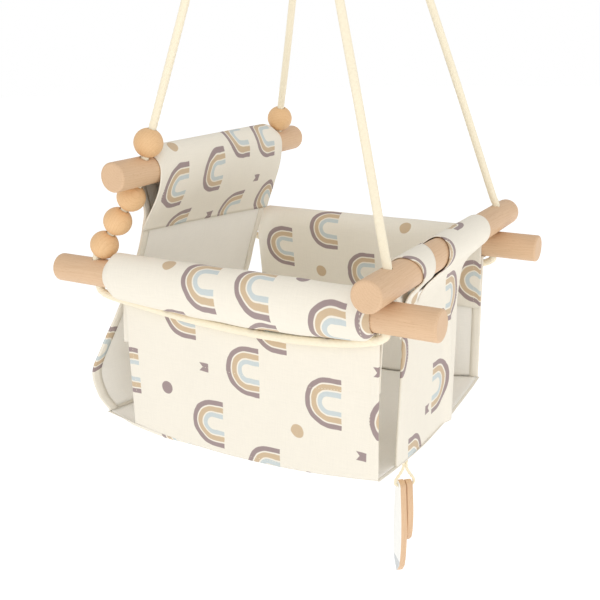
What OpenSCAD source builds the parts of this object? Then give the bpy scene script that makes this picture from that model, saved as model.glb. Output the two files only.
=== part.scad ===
// Baby swing: a canvas seat on four wooden bars, hung on two knotted ropes with wooden beads.
// Millimetres. +Z is up, +X is the child's left, the child faces -Y.
// The origin is midway between the two hooks, where the steel rings hang.

/* [Bars] */
// Diameter of the four round bars
bar_d = 30; // [24:1:36]
// Length of each side bar
side_bar_l = 440; // [400:5:520]
// Length of the front bar
front_bar_l = 386; // [372:2:440]
// Length of the back bar
back_bar_l = 350; // [340:2:420]
// Distance between the two side bars, axis to axis
side_gap = 300; // [280:5:360]
// Distance from a side bar's end to its rope hole
side_hole_in = 52; // [40:1:60]
// Rope hole diameter
hole_d = 10; // [9.5:0.5:12]
// Rounding of the bar ends
bar_round = 2.5; // [1:0.5:4]

/* [Beads] */
// Bead diameter
bead_d = 30; // [22:1:36]
// Bead bore
bead_bore = 10; // [9.6:0.2:11]
// How far the rows of beads lean in towards each other, in 80 of height
bead_lean = 20; // [8:1:22]

/* [Ropes and rings] */
// Rope diameter
rope_d = 8; // [6:0.5:8]
// Distance between the two hanging points
hang_gap = 100; // [60:5:160]
// Thickness of the steel ring's wire
ring_wire = 6; // [4:0.5:7]
// Inside diameter of the steel ring
ring_inner = 30; // [28:1:50]

/* [Cloth] */
// Thickness of each layer of cloth
cloth_t = 1.2; // [0.8:0.1:1.6]
// Length of a side panel along its bar
side_panel_l = 306; // [260:2:320]
// Width of the back panel along its bar
back_panel_w = 236; // [200:2:244]
// Depth of the seat below the side bars' axes
seat_depth = 166; // [140:2:200]
// How far the seat sags below that, front to back
sag_long = 14; // [0:1:25]
// How far the seat sags below that, side to side
sag_wide = 12; // [0:1:20]
// How far the printed cloth turns down inside, below the bar's axis
facing_drop = 78; // [55:1:100]
// Right end of the front panel's sleeve, from the middle
sleeve_right = -112; // [-120:1:-80]
// Left end of the front panel's sleeve, from the middle
sleeve_left = 92; // [60:1:116]
// Middle of the eye-shaped cut-out in the front panel's sleeve
front_cut_x = -46; // [-60:1:40]

/* [Pendants] */
// Length of the long wooden feather
long_feather_l = 110; // [80:1:140]
// Length of the short wooden feather
short_feather_l = 73; // [50:1:90]
// Width of the long feather
feather_w = 27; // [16:1:34]
// How far the feathers' holes hang below the seat's front edge
pendant_drop = 44; // [44:1:60]
// Thickness of the feathers
feather_t = 7; // [4:0.5:7.5]

/* [Hidden] */
$fn = 64;

wood = "#e4be94";
bead_wood = "#e6b982";
canvas = "#f4eedf";
lining = "#e2ddcf";
cotton = "#f3e7cb";
steel = "#c4c6c8";

clear = 0.3;                                  // gap between pieces that lie against each other
bar_r = bar_d / 2;
bead_r = bead_d / 2;
rope_r = rope_d / 2;
side_x = side_gap / 2;
hole_y = side_bar_l / 2 - side_hole_in;       // rope holes of the side bars, in front and behind
front_z = bar_d + clear;                      // the front bar lies across the side bars

// From here, places are in the seat's own frame: its zero is midway between the side bars' axes.
pivot_z = 587;                                // where the rope eyes hang on the rings
pivot_y = -10;
ring_r = (ring_inner + ring_wire) / 2;
hook_z = pivot_z + ring_wire / 2 + ring_inner;    // inside top of the rings
module seat() { translate([0, -pivot_y, -hook_z]) children(); }

// Unit vector
function unit(v) = v / norm(v);
// Distance from p along unit vector u, in a plane, until the point is r away from the axis at 0
function reach(p, u, r) = (-p * u + sqrt((p * u) ^ 2 - (u * u) * (p * p - r * r))) / (u * u);

// Bead chains: from the side bar's back hole up to the back bar
chain_up = unit([bead_lean, -48, 80]);        // direction on the child's right, mirrored on the left
chain_foot = [-side_x, hole_y, bar_r];
bead_seat_low = reach([0, bar_r], [chain_up.x, chain_up.z], bar_r + bead_r + clear);
lower_bead_at = chain_foot + chain_up * bead_seat_low;
middle_bead_at = lower_bead_at + chain_up * (bead_d + clear);
upper_bead_at = middle_bead_at + chain_up * (bead_d + clear);
back_hole_tilt = 21;                          // the back bar's holes lean with the rope
hole_up = [0, -sin(back_hole_tilt), cos(back_hole_tilt)];
below_bar = [-hole_up.y * bar_r, -hole_up.z * bar_r];
bead_seat_high = reach(below_bar, -[chain_up.y, chain_up.z], bar_r + bead_r + clear);
back_hole_low = upper_bead_at + chain_up * bead_seat_high;
back_y = back_hole_low.y - below_bar.x;
back_z = back_hole_low.z - below_bar.y;
back_hole_x = -back_hole_low.x;
back_hole_top = [-back_hole_x, back_y, back_z] + hole_up * bar_r;
leg_up = unit([80, -115, 424]);               // direction of the back ropes above the bar
top_bead_rise = reach([back_hole_top.y - back_y, back_hole_top.z - back_z],
    [leg_up.y, leg_up.z], bar_r + bead_r + clear);
top_bead_at = back_hole_top + leg_up * top_bead_rise;

// Rope route on the child's right, from the knot down the back and up the front
rope_route = [
    [-50, -5, 544], [-70, 24, 438], [-90, 53, 332], [-110, 81, 227], [-125, 103, 147],
    [-130, 110, 121], [-130, 115, 108], [-130, 120, 95],
    [-135, 132, 75], [-140, 144, 55], [-145, 156, 35],
    [-150, 168, 17], [-150, 168, 0], [-150, 168, -12], [-150, 167, -18], [-150, 162, -22],
    [-150, 150, -25], [-150, 120, -28], [-150, 60, -34], [-150, 0, -37], [-150, -60, -37],
    [-150, -120, -32], [-150, -150, -26], [-150, -162, -22], [-150, -167, -18], [-150, -168, -12],
    [-150, -168, 0], [-150, -168, 20], [-150, -168, 46], [-148, -165, 55], [-125, -130, 170],
    [-100, -91, 295], [-75, -53, 420], [-50, -15, 544]];

// Route of the pendant cord about the feathers' holes: down one side, through, and up the other
pendant_route = [[0, 1.7, 37], [0, 1.7, 30], [0, 1.8, 20], [0, 5.2, 13], [0, 9.8, 6], [0, 10, 1.5],
    [0, 7.5, 0], [0, 0, 0], [0, -7.5, 0], [0, -10, 1.5], [0, -9.8, 6], [0, -5.2, 13], [0, -1.8, 20],
    [0, -1.7, 30], [0, -1.7, 37]];

// ---- sweeping a tube along points ----
function tangent(p, i) = unit(p[min(i + 1, len(p) - 1)] - p[max(i - 1, 0)]);
function ring_points(c, t, r, n) = let (a = unit(cross(t, [1, 0, 0])), b = cross(t, a))
    [for (k = [0 : n - 1]) c + r * (cos(360 * k / n) * a + sin(360 * k / n) * b)];
module tube(route, r, n = 10) {
    last = len(route) - 1;
    points = [for (i = [0 : last]) each ring_points(route[i], tangent(route, i), r, n)];
    sides = [for (i = [0 : last - 1], k = [0 : n - 1])
        let (m = (k + 1) % n) [i * n + k, i * n + m, (i + 1) * n + m, (i + 1) * n + k]];
    start = [[for (k = [n - 1 : -1 : 0]) k]];
    end = [[for (k = [0 : n - 1]) last * n + k]];
    polyhedron(points, concat(sides, start, end), convexity = 6);
}

// ---- a layer of cloth through a grid of points, t thick, grown along its normals ----
function at_clamped(g, i, j) = g[max(0, min(i, len(g) - 1))][max(0, min(j, len(g[0]) - 1))];
function grid_normal(g, i, j) = unit(cross(at_clamped(g, i + 1, j) - at_clamped(g, i - 1, j),
    at_clamped(g, i, j + 1) - at_clamped(g, i, j - 1)));
module cloth(g, t) {
    ni = len(g);
    nj = len(g[0]);
    front = [for (i = [0 : ni - 1], j = [0 : nj - 1]) g[i][j] + grid_normal(g, i, j) * t / 2];
    back = [for (i = [0 : ni - 1], j = [0 : nj - 1]) g[i][j] - grid_normal(g, i, j) * t / 2];
    n = ni * nj;
    rim = concat([for (j = [0 : nj - 1]) j], [for (i = [1 : ni - 1]) i * nj + nj - 1],
        [for (j = [nj - 2 : -1 : 0]) (ni - 1) * nj + j], [for (i = [ni - 2 : -1 : 1]) i * nj]);
    m = len(rim);
    faces = concat(
        [for (i = [0 : ni - 2], j = [0 : nj - 2]) each let (a = i * nj + j)
            [[a, a + 1, a + nj + 1], [a, a + nj + 1, a + nj]]],
        [for (i = [0 : ni - 2], j = [0 : nj - 2]) each let (a = n + i * nj + j)
            [[a, a + nj + 1, a + 1], [a, a + nj, a + nj + 1]]],
        [for (k = [0 : m - 1]) each let (a = rim[k], b = rim[(k + 1) % m])
            [[a, a + n, b + n], [a, b + n, b]]]);
    polyhedron(concat(front, back), faces, convexity = 8);
}

// ---- the seat's shape ----
side_panel_mid = -4;                          // the side panels sit a little forward of centre
panel_x = side_x - 5.6;                       // printed layer of a side panel
lining_x = panel_x - cloth_t - clear;
facing_x = lining_x - cloth_t - clear;
sleeve_r = bar_r + clear + cloth_t / 2;
seat_front = -hole_y + 12;                    // front edge of the seat base
seat_back = hole_y + 8;
layer = cloth_t + clear;

// Height of the seat base's printed layer
function floor_z(x, y) = let (a = min(1, abs(x) / panel_x),
    b = (y - (seat_front + seat_back) / 2) / ((seat_back - seat_front) / 2))
    -seat_depth - sag_long * (1 - min(1, b * b)) - sag_wide * (1 - a * a);

// Points of an arc about c, from angle a to angle b
function arc(c, r, a, b, n) = [for (k = [0 : n]) let (t = a + (b - a) * k / n)
    [c[0] + r * cos(t), c[1] + r * sin(t)]];

// The sleeve stands this many times as tall as the bar, but for its ends
sleeve_loose = 1.45;
function puff(j, n) = j == 0 || j == n ? 1 : sleeve_loose;

// Section of a side panel: up inside, round the bar and down outside; zd is the hem's height
function side_section(zd, tall) = let (seam = -(bar_r + 5) * tall) concat(
    [[-facing_x, -facing_drop], [-facing_x, -50], [-facing_x, seam - 2]],
    [for (p = arc([-side_x, 0], sleeve_r, -acos((side_x - facing_x) / sleeve_r),
        360 - acos((side_x - panel_x) / sleeve_r), 24)) [p[0], p[1] * tall]],
    [for (k = [0 : 5]) [-panel_x, seam + (zd - seam) * k / 5]]);
function side_y(j, n) = side_panel_mid + side_panel_l * (0.5 - j / n);
side_grid = [for (i = [0 : 33]) [for (j = [0 : 8]) let (y = side_y(j, 8),
    s = side_section(floor_z(panel_x, y) + layer, puff(j, 8))[i]) [s[0], y, s[1]]]];
side_lining_grid = [for (i = [0 : 6]) [for (j = [0 : 8]) let (y = side_y(j, 8),
    low = floor_z(panel_x, y) + 2 * layer, top = -(bar_r + 6) * puff(j, 8))
    [-lining_x, y, top + (low - top) * i / 6]]];

// Back panel below its bar: [distance behind the bar's axis, share of the drop, share of the widening]
back_steps = [[6, 0.08, 0], [13, 0.19, -0.1], [26, 0.32, -0.2], [42, 0.46, -0.1], [57, 0.6, 0.25],
    [69, 0.74, 0.55], [74, 0.85, 0.8], [69, 0.94, 0.95]];
back_half = back_panel_w / 2;
back_drop = back_z + seat_depth;
function back_width(i) = back_half + (panel_x - back_half) * back_steps[i][2];
function back_yz(i, d) = [back_y + back_steps[i][0] + d, back_z - back_drop * back_steps[i][1]];
function row(y, z, half, n) = [for (j = [0 : n]) [half * (2 * j / n - 1), y, z]];
function row_to_floor(y, half, up, n) = [for (j = [0 : n]) let (x = half * (2 * j / n - 1))
    [x, y, floor_z(x, y) + up]];
back_grid = concat(
    [for (d = [facing_drop - 8, 40, 22]) row(back_y + 0.12 * d - 2 * layer, back_z - d, back_half - 1, 10)],
    [for (p = arc([back_y, back_z], sleeve_r, -108, -430, 26)) row(p[0], p[1], back_half, 10)],
    [for (i = [0 : 7]) let (p = back_yz(i, 0)) row(p[0], p[1], back_width(i), 10)],
    [row_to_floor(seat_back - 1, panel_x, layer, 10)]);
back_lining_grid = concat(
    [for (i = [0 : 7]) let (p = back_yz(i, -layer)) row(p[0], p[1], back_width(i) - 1, 10)],
    [row_to_floor(seat_back - 1 - layer, panel_x - layer, 2 * layer, 10)]);

// Front panel: its sleeve's ends, and the strap below: [share of its height, right edge, left edge]
front_y = -hole_y;
front_ends = [sleeve_right, sleeve_left];
strap_y = seat_front - 3;                     // printed layer of the strap
strap_top = front_z - bar_r - 7;
strap_steps = [[0, 4, -6], [0.1, 16, -24], [0.26, 23, -34], [0.48, 20, -36], [0.7, 15, -38], [1, 11, -40]];
front_cut_r = 19;
function across(a, b, n) = [for (j = [0 : n]) a + (b - a) * j / n];
function strap_row(s, d) =
    [for (x = across(front_ends[0] + s[1], front_ends[1] + s[2], 8))
        [x, strap_y + d, strap_top + s[0] * (floor_z(x, seat_front) + layer + d - strap_top)]];
front_grid = concat(
    [for (p = arc([front_y, front_z], sleeve_r, -38, 245, 22))
        [for (x = across(front_ends[0], front_ends[1], 8)) [x, p[0], p[1]]]],
    [for (s = strap_steps) strap_row(s, 0)]);
front_lining_grid = [for (s = strap_steps) strap_row(s, layer)];
function base_grid(half, from, to, up) = [for (y = across(from, to, 12))
    [for (x = across(-half, half, 12)) [x, y, floor_z(x, y) + up]]];
seat_grid = base_grid(panel_x, seat_front - 4, seat_back, 0);
seat_lining_grid = base_grid(panel_x - 2, seat_front - 2, seat_back - 2, layer);

// ---- wood ----
// A round bar along X, with rounded ends
module dowel(l) {
    rotate([0, 90, 0]) translate([0, 0, -l / 2]) rotate_extrude()
        union() {
            square([bar_r - bar_round, l]);
            translate([0, bar_round]) square([bar_r, l - 2 * bar_round]);
            for (z = [bar_round, l - bar_round])
                translate([bar_r - bar_round, z]) circle(bar_round, $fn = 32);
        }
}
module hole(l = 2 * bar_d) cylinder(d = hole_d, h = l, center = true);
module side_bar(s) {
    color(wood) seat() translate([s * side_x, 0, 0]) difference() {
        rotate([0, 0, 90]) dowel(side_bar_l);
        for (y = [-hole_y, hole_y]) translate([0, y, 0]) hole();
    }
}
module front_bar() {
    color(wood) seat() translate([0, -hole_y, front_z]) difference() {
        dowel(front_bar_l);
        for (s = [-1, 1]) translate([s * side_x, 0, 0]) hole();
    }
}
module back_bar() {
    color(wood) seat() translate([0, back_y, back_z]) difference() {
        dowel(back_bar_l);
        for (s = [-1, 1]) translate([s * back_hole_x, 0, 0]) rotate([back_hole_tilt, 0, 0]) hole();
    }
}
// A bead at a point, bored along direction v; s is -1 on the child's right and 1 on the left
module bead(at, v, s) {
    p = [-s * at.x, at.y, at.z];
    w = [-s * v.x, v.y, v.z];
    color(bead_wood) seat() translate(p)
        rotate([0, acos(w.z), atan2(w.y, w.x)]) difference() {
            sphere(d = bead_d);
            cylinder(d = bead_bore, h = bead_d + 2, center = true);
        }
}

// ---- ropes, knots and rings ----
eye_r = ring_wire / 2 + rope_d + 1;           // rope centre line of the eye on the ring
eye_z = pivot_z + ring_wire / 2 + clear + rope_r - eye_r;
knot_low = 546;
module rope(s) {
    color(cotton) seat() tube([for (p = rope_route) [-s * p.x, p.y, p.z]], rope_r);
}
// A round knot with the eye that hangs on the ring
module knot(s) {
    h = eye_z - eye_r + 2 - knot_low;
    color(cotton) seat() translate([s * hang_gap / 2, pivot_y, 0]) union() {
        translate([0, 0, eye_z]) rotate([0, 90, 0]) rotate_extrude()
            translate([eye_r, 0]) circle(rope_r, $fn = 24);
        translate([0, 0, knot_low]) rotate_extrude() polygon(concat(
            [[0, 0]], [for (a = [-70 : 20 : 70]) [5 + 6 * cos(a), h / 2 + h / 2 * sin(a) / sin(70)]],
            [[0, h]]));
    }
}
module steel_ring(s) {
    color(steel) seat() translate([s * hang_gap / 2, pivot_y, pivot_z + ring_r])
        rotate([90, 0, 0]) rotate_extrude() translate([ring_r, 0]) circle(d = ring_wire, $fn = 32);
}

// ---- cloth ----
module mirrored(s) mirror([s > 0 ? 1 : 0, 0, 0]) children();
module side_panel(s) { color(canvas) seat() mirrored(s) cloth(side_grid, cloth_t); }
module side_lining(s) { color(lining) seat() mirrored(s) cloth(side_lining_grid, cloth_t); }
module back_panel() { color(canvas) seat() cloth(back_grid, cloth_t); }
module back_lining() { color(lining) seat() cloth(back_lining_grid, cloth_t); }
module front_panel() {
    color(canvas) seat() difference() {
        cloth(front_grid, cloth_t);
        translate([front_cut_x, front_y, front_z]) rotate([60, 0, 0])
            cylinder(r = front_cut_r, h = bar_d);
    }
}
module front_lining() { color(lining) seat() cloth(front_lining_grid, cloth_t); }
module seat_base() { color(canvas) seat() cloth(seat_grid, cloth_t); }
module seat_lining() { color(lining) seat() cloth(seat_lining_grid, cloth_t); }

// ---- pendants ----
pendant_turn = 42;                            // the feathers hang turned this far from the front
feather_gap = 1;
cord_r = 1.5;
feather_hole = 4;
feather_top = 5;                              // from the hole to the feather's top
pendant_at = [-50, seat_front + 10, floor_z(-50, seat_front) - pendant_drop];   // the feathers' holes
module feather(l, w) {
    rotate([90, 0, 0]) linear_extrude(feather_t, center = true) difference() {
        polygon(concat(
            [for (a = [0 : 15 : 180]) [w * 0.28 * cos(a), feather_top * sin(a)]],
            [for (k = [0 : 10]) let (t = k / 10)
                [-w * (0.28 + 0.22 * sin(90 * min(1, t * 1.6))) * sqrt(1 - t ^ 4), -(l - feather_top) * t]],
            [for (k = [9 : -1 : 0]) let (t = k / 10)
                [w * (0.28 + 0.22 * sin(90 * min(1, t * 1.6))) * sqrt(1 - t ^ 4), -(l - feather_top) * t]]));
        circle(d = feather_hole, $fn = 32);
    }
}
module pendant() { seat() translate(pendant_at) rotate([0, 0, pendant_turn]) children(); }
module long_feather() {
    color(wood) pendant() translate([0, (feather_t + feather_gap) / 2, 0]) feather(long_feather_l, feather_w);
}
module short_feather() {
    color(wood) pendant() translate([0, -(feather_t + feather_gap) / 2, 0])
        feather(short_feather_l, feather_w * 0.8);
}
module pendant_cord() { color(cotton) pendant() tube(pendant_route, cord_r, 8); }

steel_ring(-1);  // right_ring
steel_ring(1);  // left_ring
rope(-1);  // right_rope
rope(1);  // left_rope
knot(-1);  // right_knot
knot(1);  // left_knot
back_bar();
front_bar();
side_bar(-1);  // right_side_bar
side_bar(1);  // left_side_bar
bead(top_bead_at, leg_up, -1);  // right_top_bead
bead(top_bead_at, leg_up, 1);  // left_top_bead
bead(upper_bead_at, chain_up, -1);  // right_upper_bead
bead(middle_bead_at, chain_up, -1);  // right_middle_bead
bead(lower_bead_at, chain_up, -1);  // right_lower_bead
bead(upper_bead_at, chain_up, 1);  // left_upper_bead
bead(middle_bead_at, chain_up, 1);  // left_middle_bead
bead(lower_bead_at, chain_up, 1);  // left_lower_bead
back_panel();
side_panel(-1);  // right_side_panel
side_panel(1);  // left_side_panel
front_panel();
seat_base();
back_lining();
side_lining(-1);  // right_side_lining
side_lining(1);  // left_side_lining
front_lining();
seat_lining();
pendant_cord();
long_feather();
short_feather();
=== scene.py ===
from math import acos, cos, hypot, pi, radians, sin, sqrt

import bmesh
import bpy
from mathutils import Matrix, Vector, noise


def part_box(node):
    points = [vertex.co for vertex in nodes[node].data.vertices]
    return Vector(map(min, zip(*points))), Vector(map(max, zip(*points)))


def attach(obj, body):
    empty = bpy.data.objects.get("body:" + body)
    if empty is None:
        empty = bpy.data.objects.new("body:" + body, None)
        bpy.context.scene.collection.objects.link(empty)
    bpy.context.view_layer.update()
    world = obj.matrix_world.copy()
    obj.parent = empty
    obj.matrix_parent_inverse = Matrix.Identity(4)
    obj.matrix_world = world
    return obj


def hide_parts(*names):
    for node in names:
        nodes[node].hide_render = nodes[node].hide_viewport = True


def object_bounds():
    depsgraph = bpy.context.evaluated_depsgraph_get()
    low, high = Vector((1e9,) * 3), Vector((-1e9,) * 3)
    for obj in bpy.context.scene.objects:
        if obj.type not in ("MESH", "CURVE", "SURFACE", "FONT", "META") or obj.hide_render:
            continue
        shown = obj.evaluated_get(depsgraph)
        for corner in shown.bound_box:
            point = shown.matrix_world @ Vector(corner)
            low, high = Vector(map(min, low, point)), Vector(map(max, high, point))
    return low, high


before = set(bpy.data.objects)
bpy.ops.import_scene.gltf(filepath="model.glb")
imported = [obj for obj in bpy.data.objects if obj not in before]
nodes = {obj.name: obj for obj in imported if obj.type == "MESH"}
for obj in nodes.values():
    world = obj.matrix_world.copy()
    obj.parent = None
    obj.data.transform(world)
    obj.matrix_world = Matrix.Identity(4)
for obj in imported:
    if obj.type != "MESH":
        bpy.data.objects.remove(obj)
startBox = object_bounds()
mm = 0.001

# The seat's own zero is midway between the two side bars
sideBoxes = [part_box("right_side_bar"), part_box("left_side_bar")]
seatZero = sum((low + high for low, high in sideBoxes), Vector()) / 4
barRadius = (sideBoxes[0][1].z - sideBoxes[0][0].z) / 2 / mm
sideGap = (sideBoxes[1][0].x - sideBoxes[0][0].x) / mm


def seatPoint(x, y, z):
    return seatZero + Vector((x, y, z)) * mm


def seatMiddle(node):  # middle of a node's box, in the seat's millimetres
    low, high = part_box(node)
    return ((low + high) / 2 - seatZero) / mm


# Camera, light and floor
camera = {"from": (-812.8, -466.6, 245.4), "turn": -59.756, "tilt": 17.481, "roll": -1.11, "lens": 52.08}
turn, tilt, roll = (radians(camera[k]) for k in ("turn", "tilt", "roll"))
backward = Vector((sin(turn) * cos(tilt), -cos(turn) * cos(tilt), sin(tilt)))
right = Vector((cos(turn), sin(turn), 0))
up = backward.cross(right)
cameraData = bpy.data.cameras.new("camera")
cameraData.lens = camera["lens"]
cameraObject = bpy.data.objects.new("camera", cameraData)
bpy.context.scene.collection.objects.link(cameraObject)
axes = (right * cos(roll) + up * sin(roll), up * cos(roll) - right * sin(roll), backward)
cameraTurn = Matrix(axes).transposed().to_4x4()
cameraObject.matrix_world = Matrix.Translation(seatPoint(*camera["from"])) @ cameraTurn
bpy.context.scene.camera = cameraObject
bpy.context.scene.view_settings.view_transform = "Standard"


def addNode(tree, kind, inputs=(), **settings):
    node = tree.nodes.new(kind)
    for name, value in settings.items():
        setattr(node, name, value)
    for key, value in dict(inputs).items():
        if isinstance(value, bpy.types.NodeSocket):
            tree.links.new(value, node.inputs[key])
        else:
            node.inputs[key].default_value = value
    return node


def maths(tree, operation, *values, **settings):
    return addNode(tree, "ShaderNodeMath", enumerate(values), operation=operation, **settings).outputs[0]


def vectorMaths(tree, operation, *values):
    return addNode(tree, "ShaderNodeVectorMath", enumerate(values), operation=operation).outputs[0]


def mixColour(tree, share, first, second, blend="MIX"):
    node = addNode(tree, "ShaderNodeMix", {0: share, 6: first, 7: second}, data_type="RGBA", blend_type=blend)
    return node.outputs[2]


def linear(red, green, blue):  # a screen colour, 0 to 255, as the colour that nodes take
    shares = (c / 255 for c in (red, green, blue))
    return tuple(c / 12.92 if c < 0.04045 else ((c + 0.055) / 1.055) ** 2.4 for c in shares) + (1,)


studio = {"sky": 0.7, "backdrop": 1.0, "key": 12, "keyAt": (-1700, -700, 900), "keySize": 1.9,
    "fill": 5, "fillAt": (700, -1900, 500), "fillSize": 2.2, "floorBelow": 430,
    "floorGlow": 0.42}
world = bpy.data.worlds.new("studio")
bpy.context.scene.world = world
world.use_nodes = True
worldTree = world.node_tree
worldTree.nodes.clear()
eye = addNode(worldTree, "ShaderNodeLightPath").outputs["Is Camera Ray"]
sky = maths(worldTree, "MULTIPLY_ADD", eye, studio["backdrop"] - studio["sky"], studio["sky"])
background = addNode(worldTree, "ShaderNodeBackground", {"Color": (1, 1, 1, 1), "Strength": sky})
addNode(worldTree, "ShaderNodeOutputWorld", {"Surface": background.outputs[0]})


def areaLight(name, power, place, size):
    data = bpy.data.lights.new(name, "AREA")
    data.energy, data.size = power, size
    light = bpy.data.objects.new(name, data)
    light.location = seatPoint(*place)
    light.rotation_euler = (seatZero - light.location).to_track_quat("-Z", "Y").to_euler()
    bpy.context.scene.collection.objects.link(light)


areaLight("key_light", studio["key"], studio["keyAt"], studio["keySize"])
areaLight("fill_light", studio["fill"], studio["fillAt"], studio["fillSize"])
print("camera and lights placed")


# Surfaces made from a grid
def surface(name, across, along, lay, slit=None, thick=0.0):
    # slit is the column left open; lay(a, b) gives the point, and its place on
    # the flat cloth in millimetres
    form = bmesh.new()
    bmesh.ops.create_grid(form, x_segments=len(across) - 1, y_segments=len(along) - 1, size=1)
    flatLayer = form.loops.layers.uv.new("flat")
    flat, column = {}, {}
    for v in form.verts:
        i = round((v.co.x + 1) / 2 * (len(across) - 1))
        j = round((v.co.y + 1) / 2 * (len(along) - 1))
        v.co, flat[v] = lay(across[i], along[j])
        column[v] = i
    for face in form.faces:
        face.smooth = True
        for loop in face.loops:
            loop[flatLayer].uv = [c * mm for c in flat[loop.vert]]
    if slit is not None:
        gone = [f for f in form.faces if all(column[v] in (slit, slit + 1) for v in f.verts)]
        bmesh.ops.delete(form, geom=gone, context="FACES")
    bmesh.ops.remove_doubles(form, verts=form.verts, dist=1e-6)
    return finishMesh(name, form, thick)


def finishMesh(name, form, thick=0.0):
    mesh = bpy.data.meshes.new(name)
    form.to_mesh(mesh)
    form.free()
    piece = bpy.data.objects.new(name, mesh)
    bpy.context.scene.collection.objects.link(piece)
    if thick:
        shell = piece.modifiers.new("thickness", "SOLIDIFY")
        shell.thickness, shell.offset = thick, 0
    return piece


def smoothPath(points, step):
    ends = [points[0] * 2 - points[1], *points, points[-1] * 2 - points[-2]]
    path = [points[0]]
    for p0, p1, p2, p3 in zip(ends, ends[1:], ends[2:], ends[3:]):
        a, b, c = (sqrt((q - p).length) for p, q in ((p0, p1), (p1, p2), (p2, p3)))
        out = ((p1 - p0) / a - (p2 - p0) / (a + b) + (p2 - p1) / b) * b
        into = ((p2 - p1) / b - (p3 - p1) / (b + c) + (p3 - p2) / c) * b
        count = max(1, round((p2 - p1).length / step))
        for t in (k / count for k in range(1, count + 1)):
            path.append(p1 * (2 * t**3 - 3 * t**2 + 1) + out * (t**3 - 2 * t**2 + t)
                + p2 * (3 * t**2 - 2 * t**3) + into * (t**3 - t**2))
    return path


def pathLength(path):
    return sum((q - p).length for p, q in zip(path, path[1:]))


def tube(name, path, radius, sides=24, relief=lambda angle, far: 0, closed=False):
    # path in metres, radius and relief in millimetres
    last = len(path) - 1
    side = (path[1] - path[0]).orthogonal().normalized()
    rings, far = [], 0
    for i, p in enumerate(path):
        ahead = (path[min(i + 1, last)] - path[max(i - 1, 0)]).normalized()
        side = (side - ahead * side.dot(ahead)).normalized()
        far += (p - path[i - 1]).length / mm if i else 0
        rings.append((p, side, ahead.cross(side), far))

    def lay(angle, i):
        p, a, b, far = rings[i]
        r = (radius + relief(angle, far)) * mm
        turned = angle % (2 * pi)
        return p + a * r * cos(turned) + b * r * sin(turned), (angle * radius, far)

    piece = surface(name, [2 * pi * k / sides for k in range(sides + 1)], range(len(path)), lay)
    form = bmesh.new()
    form.from_mesh(piece.data)
    if closed:
        bmesh.ops.remove_doubles(form, verts=form.verts, dist=2e-5)
    rims = [e for e in form.edges if e.is_boundary]
    if rims:
        bmesh.ops.holes_fill(form, edges=rims, sides=0)
    bmesh.ops.recalc_face_normals(form, faces=form.faces)
    form.to_mesh(piece.data)
    form.free()
    return piece


def joined(name, pieces):
    form = bmesh.new()
    for piece in pieces:
        form.from_mesh(piece.data)
        mesh = piece.data
        bpy.data.objects.remove(piece)
        bpy.data.meshes.remove(mesh)
    return finishMesh(name, form)


# Ropes, with their knots and eyes
rope = {"diameter": 8, "braid": 0.24, "pitch": 6.3, "strands": 4, "step": 1.0}
ropeRoute = [
    (-50, -5, 544), (-70, 24, 438), (-90, 53, 332), (-110, 81, 227), (-125, 103, 147),
    (-130, 110, 121), (-130, 115, 108), (-130, 120, 95), (-135, 132, 75), (-140, 144, 55),
    (-145, 156, 35), (-150, 168, 17), (-150, 168, 0), (-150, 168, -12), (-150, 167, -18),
    (-150, 162, -22), (-150, 150, -25), (-150, 120, -28), (-150, 60, -34), (-150, 0, -37),
    (-150, -60, -37), (-150, -120, -32), (-150, -150, -26), (-150, -162, -22), (-150, -167, -18),
    (-150, -168, -12), (-150, -168, 0), (-150, -168, 20), (-150, -168, 46), (-148, -165, 55),
    (-125, -130, 170), (-100, -91, 295), (-75, -53, 420), (-50, -15, 544)]
knot = {"low": 549, "rise": 5.4, "turns": 4, "wide": (5.6, 9.4), "wrap": 3.4, "eyeRadius": 12, "eyeAt": 582.3}


def braid(angle, far):
    wave = 2 * pi * far / rope["pitch"]
    across = rope["strands"] * angle
    return rope["braid"] * max(cos(across + wave), cos(across - wave))


def twist(angle, far):
    return 0.2 * cos(2 * angle - 2 * pi * far / 5)


ropePieces = {}
for side, name in ((-1, "right"), (1, "left")):
    path = smoothPath([seatPoint(-side * x, y, z) for x, y, z in ropeRoute], rope["step"] * mm)
    braided = tube(name + "_rope_braid", path, rope["diameter"] / 2, relief=braid)
    eyePath = [seatPoint(side * 50, -10 + knot["eyeRadius"] * sin(2 * pi * k / 72),
        knot["eyeAt"] + knot["eyeRadius"] * cos(2 * pi * k / 72)) for k in range(72)]
    eyeLoop = tube("eye", [*eyePath, eyePath[0]], rope["diameter"] / 2, relief=braid, closed=True)
    wideX, wideY = knot["wide"]
    wraps = []
    for k in range(knot["turns"] * 40 + 1):
        angle = 2 * pi * k / 40
        swell = 1 + 0.12 * sin(pi * k / (knot["turns"] * 40))
        wraps.append(seatPoint(side * 50 + wideX * swell * cos(angle), -10 + wideY * swell * sin(angle),
            knot["low"] + knot["rise"] * k / 40))
    wrapped = tube("wraps", wraps, knot["wrap"], sides=20, relief=braid)
    tail = smoothPath([seatPoint(side * 50 + x, y - 10, z) for x, y, z in
        ((3, 4, 568), (6, 7, 562), (11, 9, 553), (13, 10, 543), (13, 10, 536))], mm)
    tailEnd = tube("tail", tail, knot["wrap"], relief=braid)
    knotPiece = joined(name + "_rope_knot", [eyeLoop, wrapped, tailEnd])
    for piece, node in ((braided, name + "_rope"), (knotPiece, name + "_knot")):
        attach(piece, "seat")
        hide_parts(node)
    ropePieces[name] = [braided, knotPiece]
    print(name, "rope", round(pathLength(path), 3), "m long")

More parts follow.
